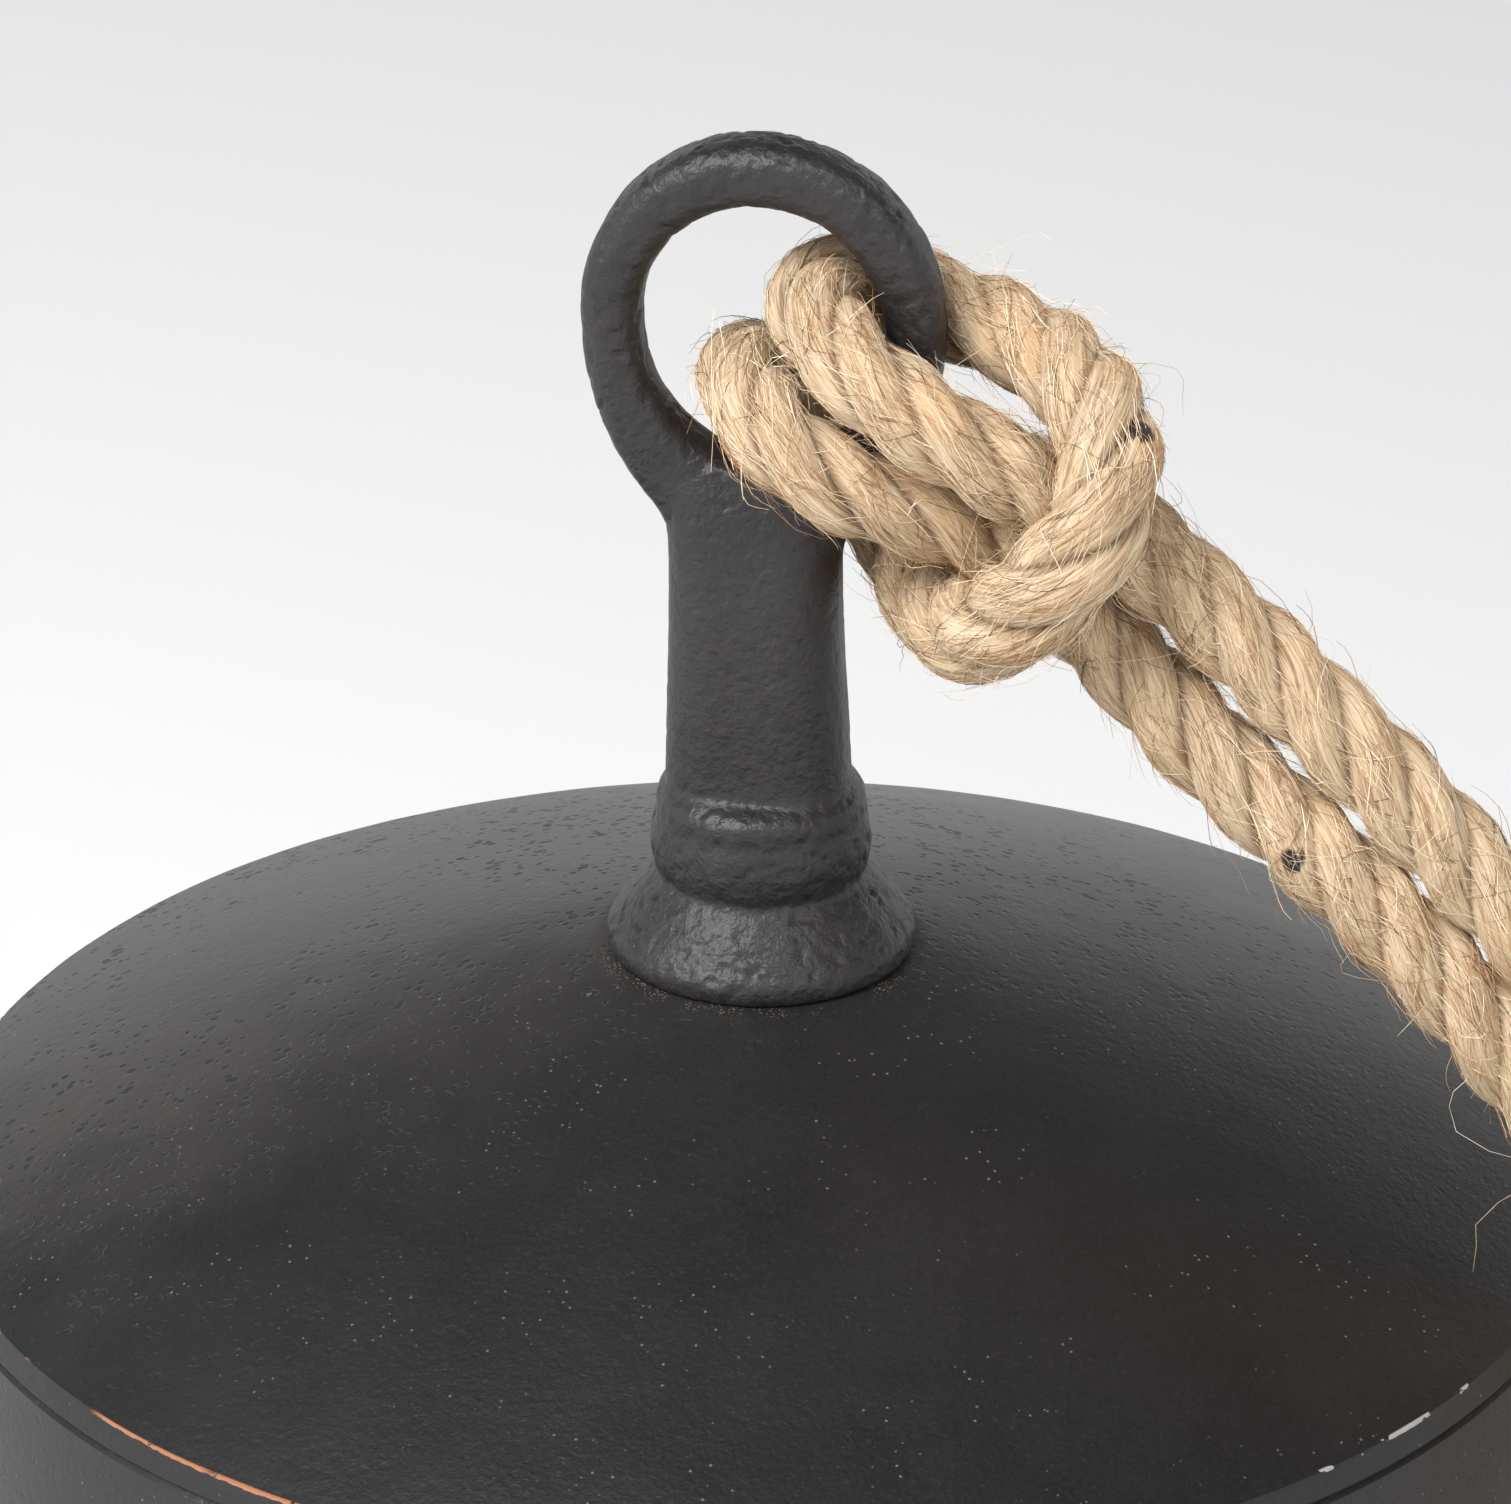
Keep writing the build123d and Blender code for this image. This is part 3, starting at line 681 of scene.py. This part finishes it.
def addSpan(tree, angle, spans, grain):
    total = None
    for low, high, share in spans:
        inside = addProduct(tree, addRange(tree, angle, low - 1.0, low + 1.0),
                         addRange(tree, angle, high + 1.0, high - 1.0))
        torn = addProduct(tree, inside, addRange(tree, grain, 1.0 - share, 1.02 - share))
        total = torn if total is None else addMath(tree, "MAXIMUM", total, torn)
    return total


def bellMaterial():
    paint, tree, shader = newMaterial("blackBellIron")
    place = addNode(tree, "ShaderNodeTexCoord").outputs["Object"]
    xyz = addNode(tree, "ShaderNodeSeparateXYZ", {"Vector": place}).outputs
    flat = addNode(tree, "ShaderNodeCombineXYZ", {"X": xyz["X"], "Y": xyz["Y"], "Z": 0.0}).outputs[0]
    radius = addNode(tree, "ShaderNodeVectorMath", {0: flat}, operation="LENGTH").outputs["Value"]
    angle = addMath(tree, "DEGREES", addMath(tree, "ARCTAN2", xyz["Y"], xyz["X"]))
    leather = addNoise(tree, place, 640.0, 3.0, 0.6)
    grain = addNoise(tree, place, 1900.0, 2.0, 0.5)
    patch = addNoise(tree, place, 26.0, 5.0, 0.6)
    spread = addNoise(tree, place, 75.0, 4.0, 0.6)
    # cast pits, thickest at the back left
    lean = addMath(tree, "SUBTRACT", addProduct(tree, xyz["Y"], 0.8), addProduct(tree, xyz["X"], 0.6))
    backLeft = addRange(tree, lean, -0.045, 0.055)
    pitAt = addNoise(tree, place, 210.0, 3.0, 0.6)
    pitCell = addCells(tree, place, 560.0)
    pitNoise = addMath(tree, "ADD", addProduct(tree, pitAt, 0.9), addProduct(tree, pitCell, -0.8))
    where = addProduct(tree, backLeft, addRange(tree, patch, 0.40, 0.58), clamp=True)
    where = addMath(tree, "ADD", addProduct(tree, where, 0.85), 0.05)
    pits = addProduct(tree, addRange(tree, pitNoise, 0.23, 0.31), where, clamp=True)
    dimple = addCells(tree, place, 330.0)
    dimples = addProduct(tree, addRange(tree, dimple, 0.16, 0.08), addRange(tree, spread, 0.54, 0.66))
    dimples = addProduct(tree, dimples, backLeft)
    pits = addMath(tree, "MAXIMUM", pits, addProduct(tree, dimples, 0.6))
    # dust: specks, and crumbs round the foot of the eye; and a faint grey coat at the back left, partly dust
    # and partly a painted sheen where the dome is seen at a grazing angle
    base = addMix(tree, addRange(tree, patch, 0.3, 0.7), (0.0066, 0.0061, 0.0064), (0.0098, 0.0091, 0.0094))
    # painted sheen: the back left of the dome is lightened, partly as dust and partly as its grazing
    # reflection
    dustAndSheenFilm = addProduct(tree, backLeft, addRange(tree, patch, 0.2, 0.8))
    base = addMix(tree, dustAndSheenFilm, base, (0.040, 0.036, 0.034))
    base = addMix(tree, addProduct(tree, addRange(tree, grain, 0.5, 0.75), 0.4), base, (0.024, 0.023, 0.0225))
    # painted shade: the pits and dimples are painted darker, as shade inside them
    colour = addMix(tree, addProduct(tree, pits, 0.9), base, (0.004, 0.0035, 0.0035))
    speck = addCells(tree, place, 620.0)
    dusty = addRange(tree, spread, 0.47, 0.60)
    specks = addProduct(tree, addRange(tree, speck, 0.15, 0.07), dusty, clamp=True)
    colour = addMix(tree, addProduct(tree, specks, 0.5), colour, (0.24, 0.225, 0.205))
    crumb = addCells(tree, place, 2300.0)
    foot = addProduct(tree, addRange(tree, radius, 0.0224, 0.0203), addRange(tree, xyz["Y"], 0.0, -0.010))
    crumbs = addProduct(tree, addRange(tree, crumb, 0.36, 0.22), foot, clamp=True)
    crumbs = addProduct(tree, crumbs, addRange(tree, addNoise(tree, place, 300.0, 2.0, 0.5), 0.45, 0.6))
    colour = addMix(tree, addProduct(tree, crumbs, 0.6), colour, (0.24, 0.19, 0.14))
    # paint rubbed through along the shoulder edge
    torn = addNoise(tree, place, 420.0, 4.0, 0.7)
    below = addMath(tree, "SUBTRACT", 0.001 * bellMake["shoulderHeight"], xyz["Z"])
    deep = addProduct(tree, torn, 2.0 * bellWear["below"])
    edge = addProduct(tree, addMath(tree, "GREATER_THAN", deep, below), addRange(tree, below, -0.0001, 0.0))
    edge = addProduct(tree, edge, addRange(tree, radius, 0.1064, 0.1068))
    band = addNoise(tree, place, 130.0, 4.0, 0.65)
    copper = addProduct(tree, addSpan(tree, angle, bellWear["copperSpans"], band), edge)
    bare = addProduct(tree, addSpan(tree, angle, bellWear["bareSpans"], band), edge)
    colour = addMix(tree, copper, colour, bellWear["copper"])
    colour = addMix(tree, bare, colour, bellWear["bare"])
    plug(tree, shader, Base_Color=colour)
    rough = addMath(tree, "ADD", addProduct(tree, patch, 0.16), addProduct(tree, pits, 0.2))
    plug(tree, shader, Roughness=addMath(tree, "ADD", rough, 0.38, clamp=True))
    shader.inputs["Specular IOR Level"].default_value = 0.45
    shader.inputs["Sheen Weight"].default_value = 0.06
    shader.inputs["Sheen Roughness"].default_value = 0.35
    height = addMath(tree, "ADD", addProduct(tree, leather, 0.38), addProduct(tree, grain, 0.16))
    height = addMath(tree, "SUBTRACT", height, addProduct(tree, pits, 1.4))
    plug(tree, shader, Normal=addBump(tree, height, 0.42, 0.0005))
    return paint


wear(bell, bellMaterial())
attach(bell, "bell")
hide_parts("bell_body")


# crown eye
eyeMake = {"voxel": 0.0005, "smoothing": 16, "lump": 0.00020, "ripple": 0.00012, "pit": 0.00028,
           "seatTop": 0.2214, "footTop": 0.246, "ringFoot": 0.275}


def makeEye():
    # the casting is remeshed from its frame part and softened; its lumps and pits are given afterwards by
    # eyeRelief
    source = nodes["crown_eye"]
    piece = bpy.data.objects.new("crownEye", source.data.copy())
    bpy.context.collection.objects.link(piece)
    deselectAll()
    piece.select_set(True)
    bpy.context.view_layer.objects.active = piece
    bpy.ops.object.mode_set(mode="EDIT")
    bpy.ops.mesh.select_all(action="SELECT")
    bpy.ops.mesh.remove_doubles(threshold=0.000002)
    bpy.ops.object.mode_set(mode="OBJECT")
    remesh = piece.modifiers.new("remesh", "REMESH")
    remesh.mode = "VOXEL"
    remesh.voxel_size = eyeMake["voxel"]
    bpy.ops.object.modifier_apply(modifier="remesh")
    soften = piece.modifiers.new("soften", "SMOOTH")
    soften.factor = 0.6
    soften.iterations = eyeMake["smoothing"]
    bpy.ops.object.modifier_apply(modifier="soften")
    return piece


def eyeRelief(p, n):
    # roughest on the ring and the foot, and flat on the seat
    m = eyeMake
    ringShare = min(1.0, max(0.0, (p.z - m["ringFoot"]) / 0.02))
    footShare = min(1.0, max(0.0, (m["footTop"] - p.z) / 0.006))
    rough = 0.35 + 0.65 * max(ringShare, footShare)
    lump = noise.noise(p * 120.0)
    ripple = noise.noise(p * 430.0 + Vector((5, 1, 3)))
    pit = max(0.0, noise.noise(p * 680.0 + Vector((1, 7, 2))) - 0.18)
    seat = min(1.0, max(0.0, (p.z - m["seatTop"]) / 0.001))
    return seat * rough * (m["lump"] * lump + m["ripple"] * ripple - m["pit"] * pit * 2.2)


eye = makeEye()
shiftAlongNormals(eye, eyeRelief)
eye.data.polygons.foreach_set("use_smooth", [True] * len(eye.data.polygons))
print("crown eye:", len(eye.data.polygons))


def eyeMaterial():
    paint, tree, shader = newMaterial("blackEyeIron")
    place = addNode(tree, "ShaderNodeTexCoord").outputs["Object"]
    skin = addNoise(tree, place, 1300.0, 3.0, 0.6)
    dimple = addNoise(tree, place, 620.0, 3.0, 0.5, 0.3)
    cloud = addNoise(tree, place, 60.0, 4.0, 0.6)
    shaded = addRange(tree, cloud, 0.35, 0.65)
    colour = addMix(tree, shaded, (0.0118, 0.0102, 0.0108), (0.0175, 0.0153, 0.0160))
    # painted shade: the low spots of the dimple bump are painted darker, as shade in them
    shadedHollows = addProduct(tree, addRange(tree, dimple, 0.42, 0.3), 0.5)
    colour = addMix(tree, shadedHollows, colour, (0.006, 0.0055, 0.0055))
    plug(tree, shader, Base_Color=colour)
    plug(tree, shader, Roughness=addMath(tree, "ADD", addProduct(tree, cloud, 0.16), 0.38))
    shader.inputs["Specular IOR Level"].default_value = 0.5
    plug(tree, shader, Normal=addBump(tree, skin, 0.40, 0.0004, addBump(tree, dimple, 0.55, 0.0006)))
    return paint


wear(eye, eyeMaterial())
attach(eye, "bell")
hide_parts("crown_eye")

# fasteners and clapper, inside the bell
zincMake = {"bright": (0.55, 0.54, 0.50), "dull": (0.33, 0.32, 0.30), "rust": (0.19, 0.085, 0.035)}
clapperMake = {"scale": (0.022, 0.021, 0.021), "strikeTop": 0.050, "strikeBottom": 0.034, "strikeFade": 0.003}


def zincMaterial():
    paint, tree, shader = newMaterial("dullZinc")
    place = addNode(tree, "ShaderNodeTexCoord").outputs["Object"]
    cloud = addNoise(tree, place, 160.0, 4.0, 0.6)
    spangle = addNoise(tree, place, 900.0, 3.0, 0.6)
    stain = addRange(tree, addNoise(tree, place, 95.0, 5.0, 0.7), 0.58, 0.70)
    colour = addMix(tree, addRange(tree, cloud, 0.35, 0.65), zincMake["dull"], zincMake["bright"])
    plug(tree, shader, Base_Color=addMix(tree, addProduct(tree, stain, 0.55), colour, zincMake["rust"]))
    plug(tree, shader, Metallic=addRange(tree, stain, 0.0, 1.0, 0.95, 0.4))
    plug(tree, shader, Roughness=addRange(tree, cloud, 0.3, 0.7, 0.30, 0.48))
    plug(tree, shader, Normal=addBump(tree, spangle, 0.15, 0.0002))
    return paint


def clapperMaterial():
    paint, tree, shader = newMaterial("clapperIron")
    place = addNode(tree, "ShaderNodeTexCoord").outputs["Object"]
    xyz = addNode(tree, "ShaderNodeSeparateXYZ", {"Vector": place}).outputs
    cast = addNoise(tree, place, 420.0, 4.0, 0.62)
    cloud = addNoise(tree, place, 70.0, 4.0, 0.6)
    # bright where the ball strikes the wall
    m = clapperMake
    above = addRange(tree, xyz["Z"], m["strikeBottom"], m["strikeBottom"] + m["strikeFade"])
    under = addRange(tree, xyz["Z"], m["strikeTop"], m["strikeTop"] - m["strikeFade"])
    strike = addProduct(tree, addProduct(tree, above, under), addRange(tree, cloud, 0.40, 0.60))
    colour = addMix(tree, addRange(tree, cloud, 0.3, 0.7), clapperMake["scale"], (0.045, 0.036, 0.030))
    plug(tree, shader, Base_Color=addMix(tree, strike, colour, (0.30, 0.28, 0.26)))
    plug(tree, shader, Metallic=addRange(tree, strike, 0.0, 1.0, 0.1, 0.95))
    plug(tree, shader, Roughness=addRange(tree, strike, 0.0, 1.0, 0.55, 0.32))
    plug(tree, shader, Normal=addBump(tree, cast, 0.35, 0.0005))
    return paint


innerFinish = {"plated_steel": zincMaterial(), "clapper_iron": clapperMaterial()}
for part in frame["record"]["subparts"]:
    if part["material_slot"] in innerFinish:
        wear(nodes[part["node"]], innerFinish[part["material_slot"]])
